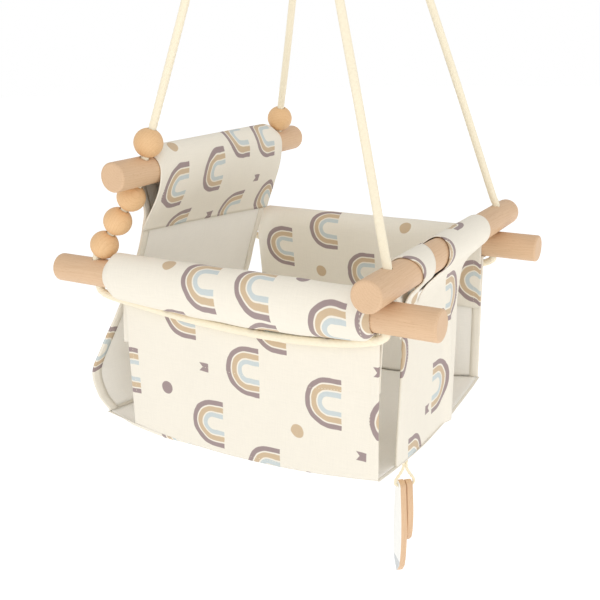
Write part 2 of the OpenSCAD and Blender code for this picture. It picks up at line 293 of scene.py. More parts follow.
# The pendants' cord, looped through the feathers' holes
pendant = {"diameter": 3, "turn": 42, "thick": 7}
longLow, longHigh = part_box("long_feather")
shortLow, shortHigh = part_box("short_feather")
pendantAt = ((longLow + longHigh + shortLow + shortHigh) / 4 - seatZero) / mm
pendantAt.z = (longHigh.z - seatZero.z) / mm - 5
pendantTurn = Matrix.Rotation(radians(pendant["turn"]), 3, "Z")
stringRoute = [(0, 1.7, 37), (0, 1.7, 30), (0, 1.8, 20), (0, 5.2, 13), (0, 9.8, 6), (0, 10, 1.5),
    (0, 7.5, 0), (0, 0, 0), (0, -7.5, 0), (0, -10, 1.5), (0, -9.8, 6), (0, -5.2, 13), (0, -1.8, 20),
    (0, -1.7, 30), (0, -1.7, 37)]
stringPath = smoothPath([seatPoint(*(pendantAt + pendantTurn @ Vector(p))) for p in stringRoute], 0.8 * mm)
string = tube("pendant_string", stringPath, pendant["diameter"] / 2, sides=14, relief=twist)
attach(string, "pendant_cord")
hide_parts("pendant_cord")
print("pendant cord", round(pathLength(stringPath), 3), "m long")


# How the cloth lies
# each panel has its own window of the print, one beside the next
printed = {
    "tile": (1360, 560), "window": 340, "sideUp": 183, "frontUp": 230, "backUp": 303,
    "leg": 13, "edge": 0.5, "wobble": 1.5, "spot": 7.2,
    "arches": {
        "right": [(15, 101), (-30, 35), (107, 86), (37, -3), (-60, 150), (48, 153), (-143, 75), (176, 78),
            (-18, 206), (44, 208), (124, 184), (172, 197), (-70, 300), (40, 320)],
        "left": [(15, 101), (-33, 36), (107, 86), (48, 6), (-110, 90), (-108, 282), (-42, 250), (9, 302),
            (152, 300), (80, 190), (-90, 180)],
        "front": [(106, 110), (-2, 47), (51, 213), (128, 207), (-28, 136), (-20, 250), (-75, 268), (60, 300),
            (62, -8)],
        "back": [(-85, 387), (-18, 380), (33, 345), (88, 352), (112, 437), (-55, 449), (42, 444), (-120, 100),
            (-60, 265), (25, 235), (85, 175), (-30, 165), (70, 290)]},
    "sandSpots": {"right": [(71, 49), (-66, 219)], "left": [(71, 49), (-55, 308), (62, 240)],
        "front": [(70, 160)], "back": [(-88, 342), (-85, 215)]},
    "taupeSpots": {"right": [(-89, 64), (84, 229), (84, 0)], "left": [(-60, 110)], "front": [(-8, 119)],
        "back": [(50, 120)]},
    "flags": {"right": [(-39, 96), (141, 38), (158, 127)], "left": [(60, 140), (100, 262)],
        "front": [(22, 30), (35, 130)], "back": [(-2, 441), (70, 404), (-10, 290)]},
    "bands": [(23.7, 2.6, (160, 142, 140)), (16.7, 2.8, (207, 183, 151)), (9.8, 2.5, (201, 209, 208))],
    "cloth": (240, 233, 218), "lining": (250, 246, 237)}
windows = {name: k * printed["window"] for k, name in enumerate(("right", "left", "front", "back"))}


def onPrint(window, across, up):
    return across + windows[window], up


cloth = {"thick": 0.8, "hem": 9, "hemGap": 2.3, "sleeveGap": 0.9, "linerIn": 1.3, "facingIn": 4.2,
    "sleeve": barRadius + 1.7, "step": 3.0, "stitch": 3.2, "thread": (0.42, 0.7)}
seat = {"halfX": sideGap / 2 - 5.6, "depth": 166, "sagLong": 14, "sagWide": 12, "frontY": -156, "backY": 176}


def floorHeight(x, y):
    a = min(1, abs(x) / seat["halfX"])
    b = min(1, abs(y - (seat["frontY"] + seat["backY"]) / 2) / ((seat["backY"] - seat["frontY"]) / 2))
    return -seat["depth"] - seat["sagLong"] * (1 - b * b) - seat["sagWide"] * (1 - a * a)


def blendTable(table, at):  # smooth reading of [(position, value), ...]
    if at <= table[0][0]:
        return table[0][1]
    if at >= table[-1][0]:
        return table[-1][1]
    k = max(i for i in range(len(table) - 1) if table[i][0] <= at)
    (a0, v0), (a1, v1) = table[k], table[k + 1]
    before = table[k - 1] if k else table[k]
    after = table[k + 2] if k + 2 < len(table) else table[k + 1]
    s0 = (v1 - before[1]) / (a1 - before[0])
    s1 = (after[1] - v0) / (after[0] - a0)
    t, w = (at - a0) / (a1 - a0), a1 - a0
    return (v0 * (2 * t**3 - 3 * t**2 + 1) + s0 * w * (t**3 - 2 * t**2 + t)
        + v1 * (3 * t**2 - 2 * t**3) + s1 * w * (t**3 - t**2))


def turnOver(c, low, high, gap):
    # a place on the cloth -> its place along the panel, and how deep the turned hem lies
    for edge, way in ((low, -1), (high, 1)):
        past = (c - edge) * way
        if past > 0:
            bend = min(past / (gap / 2), pi)
            rest = max(0, past - pi * gap / 2)
            return edge + way * (gap / 2 * sin(bend) - rest), gap / 2 * (1 - cos(bend))
    return c, 0


def steps(low, high, step):
    count = max(1, round((high - low) / step))
    return [low + (high - low) * k / count for k in range(count + 1)]


def hemmed(low, high):
    fold = pi * cloth["hemGap"] / 2
    turned = [0.25 * fold, 0.5 * fold, 0.75 * fold, fold, fold + cloth["hem"] / 2, fold + cloth["hem"]]
    return [low - t for t in reversed(turned)] + steps(low, high, cloth["step"]) + [high + t for t in turned]


def ripple(a, b, seed, size=1.0):
    # soft folds that run mostly upright: a is across, b is up
    wide = noise.noise(Vector((a / 62, b / 160, seed))) * 1.7
    fine = noise.noise(Vector((a / 24, b / 60, seed + 7))) * 0.55
    return size * (wide + fine)


def stitches(name, lay, lines):
    # each line is (start, end) in lay's own numbers; a stitch is a small rounded bead of thread
    form = bmesh.new()
    for start, end in lines:
        samples = [lay(*(s + (e - s) * k / 40 for s, e in zip(start, end)))[0] for k in range(41)]
        count = max(1, round(pathLength(samples) / mm / cloth["stitch"]))
        for k in range(count):
            a, b = (lay(*(s + (e - s) * t / count for s, e in zip(start, end)))[0]
                for t in (k + 0.14, k + 0.86))
            at = [s + (e - s) * (k + 0.5) / count for s, e in zip(start, end)]
            here = lay(*at)[0]
            over = lay(at[0] + 0.4, at[1])[0] - here
            upward = lay(at[0], at[1] + 0.01)[0] - here
            out = over.cross(upward).normalized()
            run = b - a
            if run.length < 1e-6 or out.length < 0.5:
                continue
            spin = Matrix((run.normalized(), out.cross(run).normalized(), out)).transposed().to_4x4()
            size = Matrix.Diagonal((run.length / 2, *(t * mm for t in cloth["thread"]), 1))
            bmesh.ops.create_icosphere(form, subdivisions=1, radius=1,
                matrix=Matrix.Translation(here) @ spin @ size)
    for face in form.faces:
        face.smooth = True
    return finishMesh(name, form)


clothPieces, linerPieces, stitchPieces = [], [], []


def declare(piece, node, sewn=(), liner=False):
    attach(piece, "seat")
    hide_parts(node)
    for thread in sewn:
        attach(thread, "seat")
        stitchPieces.append(thread)
    uvs = [loop.uv for loop in piece.data.uv_layers["flat"].data]
    size = [max(uv[k] for uv in uvs) - min(uv[k] for uv in uvs) for k in (0, 1)]
    area = 0
    for face in piece.data.polygons:
        ring = [uvs[i] for i in face.loop_indices]
        area += abs(sum(p[0] * q[1] - q[0] * p[1] for p, q in zip(ring, ring[1:] + ring[:1]))) / 2
    area = min(area, size[0] * size[1])
    (linerPieces if liner else clothPieces).append(piece)
    print(piece.name, "cut", [round(s * 1000) for s in size], "mm, area", round(area, 4), "m2")


# Side panels: up the outside, round the bar and down inside
side = {"low": -146, "high": 157, "facing": 78, "tall": {-1: 0.42, 1: 0.16}, "wide": 0.08,
    "taper": 8, "drawn": 9, "hang": 0.32}
flatIn = sideGap / 2 - seat["halfX"]    # the flat part, inwards from the bar's axis


def sideLay(way, depth=0):
    # rows 0 to 1 go up the outside, 1 to 2 round the bar and 2 to 3 down inside
    r0 = cloth["sleeve"]
    window = "right" if way < 0 else "left"

    def lay(c, q):
        along, deep = turnOver(c, side["low"], side["high"], cloth["hemGap"])
        share = deep / cloth["hemGap"]
        deep += depth
        y = -along
        near = max(0, min(1, min(along - side["low"], side["high"] - along) / side["taper"]))
        near = near * (2 - near)
        loose = 1 + side["tall"][way] * near * (1 + 0.25 * noise.noise(Vector((y / 50, way * 5, 3))))
        r = r0 - cloth["sleeveGap"] * share
        hang = loose * (1 + side["hang"] * near * (1 - (y / side["high"]) ** 2))    # down to the rope
        topZ = -hang * sqrt(r * r - (flatIn + deep) ** 2)
        outTop = -hang * sqrt(r0 * r0 - flatIn**2)
        lowZ = floorHeight(seat["halfX"], y) - 1
        a0, a1 = -acos((flatIn + deep) / r), -2 * pi
        whole = r0 * (2 * pi - acos(flatIn / r0)) * (1 + 0.55 * (loose - 1))
        if q <= 1:
            z = lowZ + (topZ - lowZ) * q
            v = printed["sideUp"] + lowZ + (outTop - lowZ) * q
            y -= side["drawn"] * min(1, (1 - q) * 7) * max(0, (y - 90) / 59) ** 2
            wave = ripple(y, z, way * 3.1 + 11) * min(1, (1 - q) * 6) * (0.35 + 0.65 * min(1, q * 4))
            inward = flatIn + deep + wave
        elif q <= 2:
            angle = a0 + (a1 - a0) * (q - 1)
            z, inward = (hang if sin(angle) < 0 else loose) * r * sin(angle), r * cos(angle)
            if inward < 0:
                inward *= 1 + side["wide"] * near
            v = printed["sideUp"] + outTop + whole * (q - 1)
        else:
            fall = q - 2
            z = -side["facing"] * fall
            v = printed["sideUp"] + outTop + whole - z
            ease = fall * fall * (3 - 2 * fall)
            wave = ripple(y, z, way * 3.1 + 11) * min(1, fall * 3)
            inward = r + (flatIn + cloth["facingIn"] - r0) * ease + wave * ease
            inward += 1.5 * sin(pi * fall) * noise.noise(Vector((y / 40, way, 9)))
        return seatPoint(way * (sideGap / 2 - inward), y, z), onPrint(window, c, v)
    return lay


sideRows = steps(0, 1, 1 / 52) + steps(1, 2, 1 / 56)[1:] + steps(2, 3, 1 / 22)[1:]
hemIn = 7
for way, name in ((-1, "right"), (1, "left")):
    lay = sideLay(way)
    piece = surface(name + "_side_cloth", hemmed(side["low"], side["high"]), sideRows, lay,
        thick=cloth["thick"] * mm)
    low, high = side["low"] + hemIn, side["high"] - hemIn
    sewn = stitches(name + "_side_stitches", lay, [
        ((low, 0.01), (low, 0.97)), ((high, 0.01), (high, 0.97)),
        ((low, 1.2), (low, 2.98)), ((high, 1.2), (high, 2.98)),
        ((low, 2.96), (high, 2.96)), ((low, 0.62), (high, 0.62)), ((low, 0.03), (high, 0.03))])
    declare(piece, name + "_side_panel", [sewn])
    liner = surface(name + "_side_inner", steps(side["low"] + 2, side["high"] - 2, 4),
        steps(0.01, 0.9, 1 / 44), sideLay(way, cloth["linerIn"]), thick=cloth["thick"] * mm)
    declare(liner, name + "_side_lining", liner=True)

# Back panel: up the back, over its bar and down inside
backBar = seatMiddle("back_bar")
# [share of the drop, distance behind the bar, share of the widening]
backShape = [(0.0, 4, 0), (0.08, 6, 0), (0.19, 13, -0.1), (0.32, 26, -0.2), (0.46, 42, -0.1), (0.6, 57, 0.25),
    (0.74, 72, 0.7), (0.84, 80, 1.0), (0.94, 74, 0.98), (1.0, 62, 0.86)]
back = {"half": 118, "facing": 75, "skew": 8, "belly": 5, "tall": 0.42, "taper": 16,
    "forward": [(0, 0), (0.15, 5), (0.3, 13), (0.55, 14), (0.75, 6), (0.9, 0)]}
backDrop = backBar.z + seat["depth"]


def backLay(depth=0):
    def curve(share):
        return backBar.y + blendTable([(s, b) for s, b, w in backShape], share)

    def spot(share, deep, x, half):
        forward = blendTable(back["forward"], share) * max(0, min(1, 0.5 + x / half / 2))
        slope = (curve(share + 0.01) - curve(share - 0.01)) / (0.02 * backDrop)
        length = hypot(1, slope)
        a = min(1, abs(x) / half)
        belly = back["belly"] * (1 - a * a) * sin(pi * min(1, share * 1.1)) ** 2
        wave = ripple(x, -share * backDrop, 31) * min(1, share * 8) * min(1, (1 - share) * 8)
        sag = (floorHeight(x, seat["backY"]) + seat["depth"]) * max(0, 2 * share - 1) ** 2
        z = backBar.z - share * backDrop + sag
        return curve(share) + belly + wave - forward - deep / length, z - deep * slope / length

    def lay(c, q):
        along, deep = turnOver(c, -back["half"], back["half"], cloth["hemGap"])
        folded = deep / cloth["hemGap"]
        deep += depth
        startShare = 0.05
        near = max(0, min(1, (back["half"] - abs(along)) / back["taper"]))
        loose = 1 + back["tall"] * near * (2 - near)
        r = cloth["sleeve"] - cloth["sleeveGap"] * folded
        a0, a1 = radians(-30), radians(180)
        crest = startShare * backDrop
        whole = (a1 - a0) * cloth["sleeve"] * (1 + 0.5 * (loose - 1))
        if q <= 1:
            share = 1 - (1 - startShare) * q
            wider = blendTable([(s, w) for s, b, w in backShape], share)
            half = back["half"] + (seat["halfX"] - back["half"]) * wider
            x = along * half / back["half"]
            y, z = spot(share, deep, x, half)
            ease = min(1, (1 - q) * 5) ** 2
            ease = ease * (3 - 2 * ease)
            y += (backBar.y + r * cos(a0) - y) * (1 - ease)
            v = printed["backUp"] - share * backDrop
        elif q <= 2:
            half, x = back["half"], along
            angle = a0 + (a1 - a0) * (q - 1)
            y = backBar.y + r * cos(angle)
            z = backBar.z + r * sin(angle) * (loose if sin(angle) > 0 else 1)
            v = printed["backUp"] - crest + whole * (q - 1)
        else:
            fall = q - 2
            x = along * (back["half"] - fall) / back["half"]
            drop = (back["facing"] + back["skew"] * x / back["half"]) * fall
            inner, z = spot(drop / backDrop, cloth["facingIn"] - cloth["sleeveGap"] * folded, x, back["half"])
            z = backBar.z - drop
            ease = fall * fall * (3 - 2 * fall)
            y = (backBar.y - r) * (1 - ease) + inner * ease
            y += 2.2 * sin(pi * fall) * noise.noise(Vector((x / 45, 4, 9)))
            v = printed["backUp"] - crest + whole + drop * 1.1
        return seatPoint(x, y, z), onPrint("back", c if abs(c) > back["half"] else x, v)
    return lay


backRows = steps(0, 1, 1 / 84) + steps(1, 2, 1 / 52)[1:] + steps(2, 3, 1 / 22)[1:]
lay = backLay()
piece = surface("back_cloth", hemmed(-back["half"], back["half"]), backRows, lay, thick=cloth["thick"] * mm)
low, high = -back["half"] + hemIn, back["half"] - hemIn
sewn = stitches("back_stitches", lay, [((low, 0.01), (low, 0.98)), ((high, 0.01), (high, 0.98)),
    ((low, 1.1), (low, 2.98)), ((high, 1.1), (high, 2.98)), ((low, 2.96), (high, 2.96)),
    ((low, 0.02), (high, 0.02))])
declare(piece, "back_panel", [sewn])
liner = surface("back_inner", steps(-back["half"] + 2, back["half"] - 2, 4), steps(0.01, 0.85, 1 / 70),
    backLay(cloth["linerIn"]), thick=cloth["thick"] * mm)
declare(liner, "back_lining", liner=True)

# Front panel: a strap that rises to a wide sleeve with an eye-shaped cut-out
frontBar = seatMiddle("front_bar")
front = {"plane": 9, "facing": 62, "ridge": 4.5, "ridgeAt": 22, "ridgeWide": 9}
# distances along the cloth, up to the sleeve's crest at 0, with the places of the edges there
nearEdge = [(-240, -101), (-160, -95), (-103, -88), (-73, -86), (-40, -97), (-22, -107), (0, -114),
    (26, -112), (60, -99), (110, -88)]
farEdge = [(-240, 51), (-143, 56), (-103, 57), (-75, 66), (-45, 76), (-26, 80), (0, 84), (26, 84), (60, 72),
    (110, 57)]
eyeMiddle = [(-79, -57), (-50, -60), (-26, -60), (0, -47), (15, -38)]
eyeHalf = [(-79, 0), (-66, 7), (-50, 13.5), (-30, 18), (-10, 20), (0, 18.5), (8, 13), (15, 0)]
# the section from the strap up under the bar: (inwards of the bar's axis, height from it)
riseRoute = [(9, -60), (9, -46), (7.5, -36), (3, -27.5), (-3.6, -20), (-11.8, -11.8)]


def frontLay(depth=0):
    bend = smoothPath([Vector((a, b, 0)) for a, b in riseRoute], 1.5)
    bendFar = [0]
    for p, q in zip(bend, bend[1:]):
        bendFar.append(bendFar[-1] + (q - p).length)
    r0 = cloth["sleeve"]
    a0, a1 = radians(-135), radians(-398)
    quarter = r0 * (a0 + 1.5 * pi)    # from the bar's lower front round to its crest
    riseLow = -quarter - bendFar[-1]

    def section(s, deep, folded):    # place along the cloth -> inwards and up from the bar's axis
        r = r0 - cloth["sleeveGap"] * folded
        if s < riseLow:
            return front["plane"] + deep, riseRoute[0][1] + (s - riseLow)
        if s < -quarter:
            far = s - riseLow
            k = min(len(bend) - 2, max(i for i in range(len(bendFar)) if bendFar[i] <= far))
            t = (far - bendFar[k]) / (bendFar[k + 1] - bendFar[k])
            p = bend[k].lerp(bend[k + 1], t)
            ahead = (bend[min(k + 2, len(bend) - 1)] - bend[max(k - 1, 0)]).normalized()
            shift = deep * (1 - 0.61 * far / bendFar[-1])
            return p.x + ahead.y * shift, p.y - ahead.x * shift
        angle = a0 - (s + quarter) / r0
        if angle > a1:
            return r * cos(angle), r * sin(angle)
        past = (a1 - angle) * r0
        return r * cos(a1), r * sin(a1) - past

    def lay(c, q):
        # c: 0 to 1 is the near part and 1 to 2 the far part; the turned hems beyond are in metres
        top = (a0 - a1) * r0 - quarter
        lowZ = -frontBar.z - seat["depth"] - 1
        lowS = riseLow + (lowZ - riseRoute[0][1])
        s = lowS + (top + front["facing"] - lowS) * q
        near, far = blendTable(nearEdge, s), blendTable(farEdge, s)
        middle, half = blendTable(eyeMiddle, s), max(0, blendTable(eyeHalf, s))
        if not eyeMiddle[0][0] < s < eyeMiddle[-1][0]:
            half = 0
        past, folded = 0, 0
        if c < 0:
            x, deep = turnOver(near + c * 1000, near, far, cloth["hemGap"])
            u = near + c * 1000
        elif c > 2:
            x, deep = turnOver(far + (c - 2) * 1000, near, far, cloth["hemGap"])
            u = far + (c - 2) * 1000
        elif c <= 1:
            x, deep = near + (middle - half - near) * c, 0
            u = x
        else:
            x, deep = middle + half + (far - middle - half) * (c - 1), 0
            u = x
        folded = deep / cloth["hemGap"]
        if s > top:
            folded = -folded    # the turned hem of the part inside lies against its other face
            deep = -deep
        inward, z = section(s, deep + depth, abs(folded))
        if s > top:
            inward += deep * 0.4
        flat = max(0, min(1, (riseLow + 30 - s) / 60))
        inward += ripple(x, s, 53, 0.8) * flat
        fromRidge = (x - front["ridgeAt"] + 0.12 * (s + 103)) / front["ridgeWide"]
        inward -= front["ridge"] * flat * 2.718 ** -(fromRidge ** 2)
        b = z + frontBar.z
        if s < riseLow:    # the foot follows the seat's front edge
            sag = floorHeight(x, seat["frontY"]) + seat["depth"]
            b += sag * max(0, (riseLow - s) / (riseLow - lowS)) ** 2
        return seatPoint(x, frontBar.y + inward, b), onPrint("front", -u, s + printed["frontUp"])
    return lay


fold = pi * cloth["hemGap"] / 2
turned = [t / 1000 for t in (0.25 * fold, 0.5 * fold, 0.75 * fold, fold, fold + 4.5, fold + 9)]
nearSteps, farSteps = 18, 44
frontColumns = [-t for t in reversed(turned)] + steps(0, 1, 1 / nearSteps) + [1 + 1e-9]
frontColumns += steps(1, 2, 1 / farSteps)[1:] + [2 + t for t in turned]
lay = frontLay()
piece = surface("front_cloth", frontColumns, steps(0, 1, 1 / 150), lay, slit=len(turned) + nearSteps,
    thick=cloth["thick"] * mm)
sewn = stitches("front_stitches", lay, [((0.25, 0.01), (0.25, 0.99)), ((1.95, 0.01), (1.95, 0.99)),
    ((0.25, 0.01), (1.95, 0.01)), ((0.25, 0.985), (1.95, 0.985)), ((1.04, 0.5), (1.04, 0.74)),
    ((0.88, 0.5), (0.88, 0.74))])
declare(piece, "front_panel", [sewn])
liner = surface("front_inner", steps(0.02, 1, 1 / 12) + steps(1, 1.98, 1 / 30)[1:],
    steps(0.005, 0.5, 1 / 110), frontLay(cloth["linerIn"]), thick=cloth["thick"] * mm)
declare(liner, "front_lining", liner=True)

# Seat base
base = {"belly": 6, "puff": 5}


def baseLay(depth=0):
    def lay(x, y):
        edge = max(0, (abs(x) - seat["halfX"] + 26) / 26)
        z = floorHeight(x, y) + depth + ripple(x, y, 71, 0.8) * (1 - edge)
        puff = max(0, min(1, (y - 10) / 90)) * max(0, min(1, (176 - y) / 30))
        out = base["puff"] * puff * sin(pi * edge) if edge else 0
        z -= base["belly"] * puff * sin(pi * edge) if edge else 0
        z -= cloth["thick"]
        return seatPoint(x + (out if x > 0 else -out), y, z), (x, y)
    return lay


halfX = seat["halfX"]
lay = baseLay()
piece = surface("base_cloth", steps(-halfX, halfX, 3), steps(-160, 178, 3), lay, thick=cloth["thick"] * mm)
sewn = stitches("base_stitches", lay, [((-halfX + 5, -156), (-halfX + 5, 172)),
    ((halfX - 5, -156), (halfX - 5, 172)), ((-halfX + 5, -153), (halfX - 5, -153)),
    ((-halfX + 5, 172), (halfX - 5, 172))])
declare(piece, "seat_base", [sewn])
liner = surface("base_inner", steps(-halfX + 3, halfX - 3, 4), steps(-157, 175, 4), baseLay(cloth["linerIn"]),
    thick=cloth["thick"] * mm)
declare(liner, "seat_lining", liner=True)
print("cloth laid")


# Feathers, softened copies of the CAD pieces
feathers = {}
for node in ("long_feather", "short_feather"):
    form = bmesh.new()
    form.from_mesh(nodes[node].data)
    bmesh.ops.remove_doubles(form, verts=form.verts, dist=1e-5)
    bmesh.ops.dissolve_limit(form, angle_limit=radians(1), verts=form.verts, edges=form.edges)
    bmesh.ops.recalc_face_normals(form, faces=form.faces)
    for face in form.faces:
        face.smooth = True
    piece = finishMesh(node + "_wood", form)
    piece.data.materials.clear()
    soft = piece.modifiers.new("softened", "BEVEL")
    soft.width, soft.segments, soft.limit_method, soft.angle_limit = 1.1 * mm, 3, "ANGLE", radians(40)
    soft.harden_normals = True
    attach(piece, node)
    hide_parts(node)
    feathers[node] = piece


# Materials
def newGroup(name, inputs, outputs):
    tree = bpy.data.node_groups.new(name, "ShaderNodeTree")
    for way, sockets in (("INPUT", inputs), ("OUTPUT", outputs)):
        for label, kind in sockets.items():
            tree.interface.new_socket(label, in_out=way, socket_type="NodeSocket" + kind)
    return tree, tree.nodes.new("NodeGroupInput").outputs, tree.nodes.new("NodeGroupOutput").inputs


def motifGroup(name, measure):
    # nearest so far -> nearest to this motif or those before, on cloth that repeats in tiles
    tree, given, result = newGroup(name, {"Place": "Vector", "Centre": "Vector", "Nearest": "Float"},
        {"Nearest": "Float"})
    away = vectorMaths(tree, "SUBTRACT", given["Place"], given["Centre"])
    half = Vector(printed["tile"]) / 2
    away = vectorMaths(tree, "WRAP", away, (half.x, half.y, 1), (-half.x, -half.y, -1))
    parts = addNode(tree, "ShaderNodeSeparateXYZ", {0: away}).outputs
    found = measure(tree, parts[0], parts[1])
    tree.links.new(maths(tree, "MINIMUM", given["Nearest"], found), result["Nearest"])
    return tree


def archAway(tree, x, y):
    behind = maths(tree, "MINIMUM", x, 0.0)
    ring = maths(tree, "SQRT", maths(tree, "ADD", maths(tree, "POWER", behind, 2.0),
        maths(tree, "MULTIPLY", y, y)))
    past = maths(tree, "GREATER_THAN", x, printed["leg"])
    return maths(tree, "MULTIPLY_ADD", past, 500.0, ring)


def spotAway(tree, x, y):
    return maths(tree, "SQRT", maths(tree, "MULTIPLY_ADD", x, x, maths(tree, "MULTIPLY", y, y)))


def flagAway(tree, x, y):
    high = maths(tree, "ABSOLUTE", y)
    notch = maths(tree, "SUBTRACT", maths(tree, "MULTIPLY_ADD", high, -0.85, -1.6), x)
    ends = maths(tree, "SUBTRACT", x, 5.5)
    return maths(tree, "MAXIMUM", maths(tree, "MAXIMUM", notch, ends), maths(tree, "SUBTRACT", high, 4.6))


arch, spot, flag = (motifGroup(n, m) for n, m in (("arch", archAway), ("spot", spotAway), ("flag", flagAway)))


def printGroup():
    tree, given, result = newGroup("nursery print", {"Flat": "Vector"}, {"Color": "Color", "Ink": "Float"})
    shake = addNode(tree, "ShaderNodeTexNoise", {"Vector": given["Flat"], "Scale": 55.0, "Detail": 2.0})
    shake = vectorMaths(tree, "SUBTRACT", shake.outputs["Color"], (0.5, 0.5, 0.5))
    shake = vectorMaths(tree, "MULTIPLY", shake, (2 * printed["wobble"], 2 * printed["wobble"], 0))
    flat = vectorMaths(tree, "MULTIPLY", given["Flat"], (1000, 1000, 0))
    flat = vectorMaths(tree, "ADD", flat, shake)

    def nearest(group, centres):
        value = 1000.0
        for x, y in (onPrint(name, *spot) for name, spots in centres.items() for spot in spots):
            value = addNode(tree, "ShaderNodeGroup", {"Place": flat, "Centre": (x, y, 0), "Nearest": value},
                node_tree=group).outputs[0]
        return value

    def inside(value, limit):
        return maths(tree, "MULTIPLY_ADD", maths(tree, "SUBTRACT", limit, value), 1 / printed["edge"], 0.5,
            use_clamp=True)

    colour, ink = linear(*printed["cloth"]), 0.0
    ring = nearest(arch, printed["arches"])
    marks = []
    for middle, half, shade in printed["bands"]:
        marks.append((inside(maths(tree, "ABSOLUTE", maths(tree, "SUBTRACT", ring, middle)), half), shade))
    taupe, sand = printed["bands"][0][2], printed["bands"][1][2]
    marks.append((inside(nearest(spot, printed["sandSpots"]), printed["spot"]), sand))
    marks.append((inside(nearest(spot, printed["taupeSpots"]), printed["spot"]), taupe))
    marks.append((inside(nearest(flag, printed["flags"]), 0.0), taupe))
    for mark, shade in marks:
        colour = mixColour(tree, mark, colour, linear(*shade))
        ink = maths(tree, "MAXIMUM", ink, mark)
    tree.links.new(colour, result["Color"])
    tree.links.new(ink, result["Ink"])
    return tree


def weaveGroup():
    tree, given, result = newGroup("weave", {"Flat": "Vector", "Pitch": "Float"},
        {"Height": "Float", "Shade": "Float"})
    parts = addNode(tree, "ShaderNodeSeparateXYZ", {0: given["Flat"]}).outputs
    waves = []
    for part in parts[:2]:
        turned = maths(tree, "MULTIPLY", maths(tree, "DIVIDE", part, given["Pitch"]), pi)
        waves.append(maths(tree, "SINE", turned))
    plain = maths(tree, "MULTIPLY", waves[0], waves[1])
    slub = addNode(tree, "ShaderNodeTexNoise", {"Scale": 1.0, "Detail": 3.0,
        "Vector": vectorMaths(tree, "MULTIPLY", given["Flat"], (60, 900, 1))}).outputs[0]
    slub2 = addNode(tree, "ShaderNodeTexNoise", {"Scale": 1.0, "Detail": 3.0,
        "Vector": vectorMaths(tree, "MULTIPLY", given["Flat"], (900, 60, 1))}).outputs[0]
    both = maths(tree, "ADD", slub, slub2)
    tree.links.new(maths(tree, "MULTIPLY_ADD", both, 0.6, maths(tree, "ABSOLUTE", plain)), result["Height"])
    tree.links.new(both, result["Shade"])
    return tree


def grainGroup():
    tree, given, result = newGroup("wood grain", {"Place": "Vector", "Seed": "Float"},
        {"Tone": "Float", "Height": "Float"})

    def speckle(scale, detail=2.0):
        stretched = vectorMaths(tree, "MULTIPLY", given["Place"], scale)
        return addNode(tree, "ShaderNodeTexNoise", {"Vector": stretched, "W": given["Seed"], "Scale": 1.0,
            "Detail": detail}, noise_dimensions="4D").outputs[0]

    drift = addNode(tree, "ShaderNodeTexNoise", {"W": given["Seed"], "Scale": 1.0, "Detail": 1.0,
        "Vector": vectorMaths(tree, "MULTIPLY", given["Place"], (22, 22, 6))}, noise_dimensions="4D")
    drift = vectorMaths(tree, "SUBTRACT", drift.outputs["Color"], (0.5, 0.5, 0.5))
    bent = vectorMaths(tree, "ADD", vectorMaths(tree, "MULTIPLY", given["Place"], (1000, 1000, 0)),
        vectorMaths(tree, "MULTIPLY", drift, (26, 26, 0)))
    bent = vectorMaths(tree, "ADD", bent, (17, 11, 0))
    ring = addNode(tree, "ShaderNodeVectorMath", {0: bent}, operation="LENGTH").outputs["Value"]
    late = maths(tree, "POWER", maths(tree, "FRACT", maths(tree, "DIVIDE", ring, 2.7)), 3.0)
    fibre = speckle((1900, 1900, 55))
    fleck = maths(tree, "SUBTRACT", speckle((1300, 1300, 260), 1.0), 0.6)
    fleck = maths(tree, "MULTIPLY", fleck, 6.0, use_clamp=True)
    tone = maths(tree, "MULTIPLY", maths(tree, "SUBTRACT", fibre, 0.3), 0.7)
    tone = maths(tree, "MULTIPLY_ADD", late, 0.14, tone)
    tone = maths(tree, "MULTIPLY_ADD", fleck, 0.3, tone, use_clamp=True)
    tree.links.new(tone, result["Tone"])
    tree.links.new(maths(tree, "MULTIPLY_ADD", fleck, -0.5, fibre), result["Height"])
    return tree


nurseryPrint, weave, grain = printGroup(), weaveGroup(), grainGroup()


def newMaterial(name):
    material = bpy.data.materials.new(name)
    material.use_nodes = True
    tree = material.node_tree
    tree.nodes.clear()
    principled = addNode(tree, "ShaderNodeBsdfPrincipled")
    addNode(tree, "ShaderNodeOutputMaterial", {"Surface": principled.outputs[0]})
    return material, tree, principled


def bump(tree, height, distance, strength=1.0, under=None):
    inputs = {"Height": height, "Distance": distance * mm, "Strength": strength}
    if under is not None:
        inputs["Normal"] = under
    return addNode(tree, "ShaderNodeBump", inputs).outputs[0]


